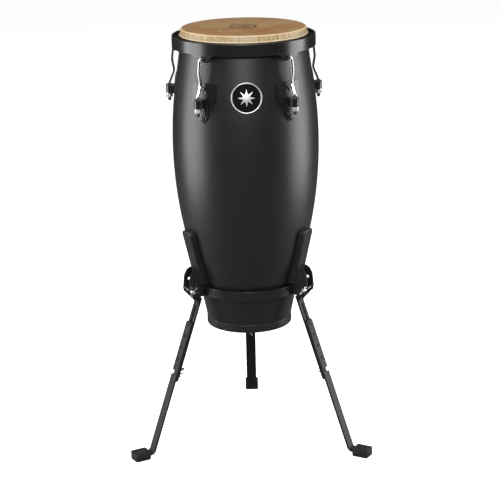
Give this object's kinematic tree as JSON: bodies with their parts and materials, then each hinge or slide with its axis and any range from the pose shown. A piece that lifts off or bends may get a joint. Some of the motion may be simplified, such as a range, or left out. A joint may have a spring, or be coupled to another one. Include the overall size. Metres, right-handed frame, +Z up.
{
  "type": "conga drum with basket stand",
  "caption": "Tall barrel-shaped conga drum with a tunable head, standing in a height-adjustable basket stand with folding legs.",
  "frame": {"origin": "on the floor, in the middle of the whole object's footprint box; the drum's axis is 74.4 mm in front of it", "axes": "+Z up along the drum's axis, -Y towards the player's side with the badge, the single rear leg towards +Y"},
  "size_m": [0.579, 0.5021, 1.012],
  "materials": {
    "shell_lacquer": "satin black lacquer",
    "black_powder_coat": "semi-gloss black powder coat",
    "black_rubber": "matt black rubber",
    "chrome": "polished",
    "steel": "zinc plated",
    "badge_metal": "black enamel with a bright ring",
    "skin": "natural hide, satin"
  },
  "bodies": {
    "basket": {"basket_ring": "black_powder_coat", "arm_rivets": "black_powder_coat", "pivot_pins": "black_powder_coat", "stop_bolts": "chrome", "leg_bracket_front_left": "black_powder_coat", "support_arm_front_left": "black_powder_coat", "arm_pad_front_left": "black_rubber", "leg_bracket_front_right": "black_powder_coat", "support_arm_front_right": "black_powder_coat", "arm_pad_front_right": "black_rubber", "leg_bracket_rear": "black_powder_coat", "support_arm_rear": "black_powder_coat", "arm_pad_rear": "black_rubber"},
    "drum": {"shell": "shell_lacquer", "shell_bottom_ring": "black_rubber", "badge": "badge_metal", "lug_brackets": "black_powder_coat", "tuning_washers": "chrome", "lug_bolts": "black_powder_coat", "lug_flange_nuts": "steel", "lug_plate_front_left": "black_powder_coat", "lug_plate_front_right": "black_powder_coat", "lug_plate_side_left": "black_powder_coat", "lug_plate_side_right": "black_powder_coat", "lug_plate_rear": "black_powder_coat"},
    "head": {"drum_skin": "skin", "flesh_hoop": "steel", "rim": "black_powder_coat", "rim_ears": "black_powder_coat", "tension_hook_front_left": "chrome", "tension_hook_front_right": "chrome", "tension_hook_side_left": "chrome", "tension_hook_side_right": "chrome", "tension_hook_rear": "chrome"},
    "nut_front_left": {"tuning_nut_front_left": "chrome"},
    "nut_front_right": {"tuning_nut_front_right": "chrome"},
    "nut_side_left": {"tuning_nut_side_left": "chrome"},
    "nut_side_right": {"tuning_nut_side_right": "chrome"},
    "nut_rear": {"tuning_nut_rear": "chrome"},
    "upper_leg_front_left": {"upper_leg_front_left": "black_powder_coat"},
    "lower_leg_front_left": {"lower_leg_front_left": "black_powder_coat", "guide_screw_front_left": "black_powder_coat", "height_bolt_front_left": "chrome", "foot_shoe_front_left": "black_rubber"},
    "height_nut_front_left": {"height_wing_nut_front_left": "chrome"},
    "stop_nut_front_left": {"stop_wing_nut_front_left": "chrome"},
    "upper_leg_front_right": {"upper_leg_front_right": "black_powder_coat"},
    "lower_leg_front_right": {"lower_leg_front_right": "black_powder_coat", "guide_screw_front_right": "black_powder_coat", "height_bolt_front_right": "chrome", "foot_shoe_front_right": "black_rubber"},
    "height_nut_front_right": {"height_wing_nut_front_right": "chrome"},
    "stop_nut_front_right": {"stop_wing_nut_front_right": "chrome"},
    "upper_leg_rear": {"upper_leg_rear": "black_powder_coat"},
    "lower_leg_rear": {"lower_leg_rear": "black_powder_coat", "guide_screw_rear": "black_powder_coat", "height_bolt_rear": "chrome", "foot_shoe_rear": "black_rubber"},
    "height_nut_rear": {"height_wing_nut_rear": "chrome"},
    "stop_nut_rear": {"stop_wing_nut_rear": "chrome"}
  },
  "joints": [
    {"name": "drum_lift", "type": "slide", "parent": "basket", "child": "drum", "axis": [0, 0, 1], "range_m": [0, 0.3]},
    {"name": "head_tension", "type": "slide", "parent": "drum", "child": "head", "axis": [0, 0, 1], "range_m": [0, 0.008]},
    {"name": "tuning_nut_turn_front_left", "type": "hinge", "parent": "drum", "child": "nut_front_left", "pos_m": [-0.10428, -0.22837, 0.8448], "axis": [0, 0, 1], "range_deg": [-10, 2334]},
    {"name": "tuning_nut_turn_front_right", "type": "hinge", "parent": "drum", "child": "nut_front_right", "pos_m": [0.11426, -0.22112, 0.8448], "axis": [0, 0, 1], "range_deg": [-10, 2334]},
    {"name": "tuning_nut_turn_side_left", "type": "hinge", "parent": "drum", "child": "nut_side_left", "pos_m": [-0.17871, -0.02278, 0.8448], "axis": [0, 0, 1], "range_deg": [-10, 2334]},
    {"name": "tuning_nut_turn_side_right", "type": "hinge", "parent": "drum", "child": "nut_side_right", "pos_m": [0.17489, -0.01104, 0.8448], "axis": [0, 0, 1], "range_deg": [-10, 2334]},
    {"name": "tuning_nut_turn_rear", "type": "hinge", "parent": "drum", "child": "nut_rear", "pos_m": [-0.00617, 0.11154, 0.8448], "axis": [0, 0, 1], "range_deg": [-10, 2334]},
    {"name": "leg_fold_front_left", "type": "hinge", "parent": "basket", "child": "upper_leg_front_left", "pos_m": [-0.12427, -0.14611, 0.391], "axis": [0.5, -0.866, 0], "range_deg": [0, 20]},
    {"name": "leg_length_front_left", "type": "slide", "parent": "upper_leg_front_left", "child": "lower_leg_front_left", "axis": [-0.2962, -0.171, -0.9397], "range_m": [-0.045, 0.01]},
    {"name": "height_nut_turn_front_left", "type": "hinge", "parent": "lower_leg_front_left", "child": "height_nut_front_left", "pos_m": [-0.1702, -0.17262, 0.19853], "axis": [0.8138, 0.4698, -0.342], "continuous": true},
    {"name": "stop_nut_turn_front_left", "type": "hinge", "parent": "basket", "child": "stop_nut_front_left", "pos_m": [-0.13166, -0.17231, 0.4], "axis": [0.5, -0.866, 0], "continuous": true},
    {"name": "leg_fold_front_right", "type": "hinge", "parent": "basket", "child": "upper_leg_front_right", "pos_m": [0.12427, -0.14611, 0.391], "axis": [0.5, 0.866, 0], "range_deg": [0, 20]},
    {"name": "leg_length_front_right", "type": "slide", "parent": "upper_leg_front_right", "child": "lower_leg_front_right", "axis": [0.2962, -0.171, -0.9397], "range_m": [-0.045, 0.01]},
    {"name": "height_nut_turn_front_right", "type": "hinge", "parent": "lower_leg_front_right", "child": "height_nut_front_right", "pos_m": [0.1702, -0.17262, 0.19853], "axis": [-0.8138, 0.4698, -0.342], "continuous": true},
    {"name": "stop_nut_turn_front_right", "type": "hinge", "parent": "basket", "child": "stop_nut_front_right", "pos_m": [0.13166, -0.17231, 0.4], "axis": [-0.5, -0.866, 0], "continuous": true},
    {"name": "leg_fold_rear", "type": "hinge", "parent": "basket", "child": "upper_leg_rear", "pos_m": [0, 0.06914, 0.391], "axis": [-1, 0, 0], "range_deg": [0, 20]},
    {"name": "leg_length_rear", "type": "slide", "parent": "upper_leg_rear", "child": "lower_leg_rear", "axis": [0, 0.342, -0.9397], "range_m": [-0.045, 0.01]},
    {"name": "height_nut_turn_rear", "type": "hinge", "parent": "lower_leg_rear", "child": "height_nut_rear", "pos_m": [0, 0.12217, 0.19853], "axis": [0, -0.9397, -0.342], "continuous": true},
    {"name": "stop_nut_turn_rear", "type": "hinge", "parent": "basket", "child": "stop_nut_rear", "pos_m": [-0.019, 0.08865, 0.4], "axis": [-1, 0, 0], "continuous": true}
  ],
  "couplings": [
    {"joint": "tuning_nut_turn_front_left", "follows": "head_tension", "rad_per_m": 5026.5},
    {"joint": "tuning_nut_turn_front_right", "follows": "head_tension", "rad_per_m": 5026.5},
    {"joint": "tuning_nut_turn_side_left", "follows": "head_tension", "rad_per_m": 5026.5},
    {"joint": "tuning_nut_turn_side_right", "follows": "head_tension", "rad_per_m": 5026.5},
    {"joint": "tuning_nut_turn_rear", "follows": "head_tension", "rad_per_m": 5026.5}
  ]
}
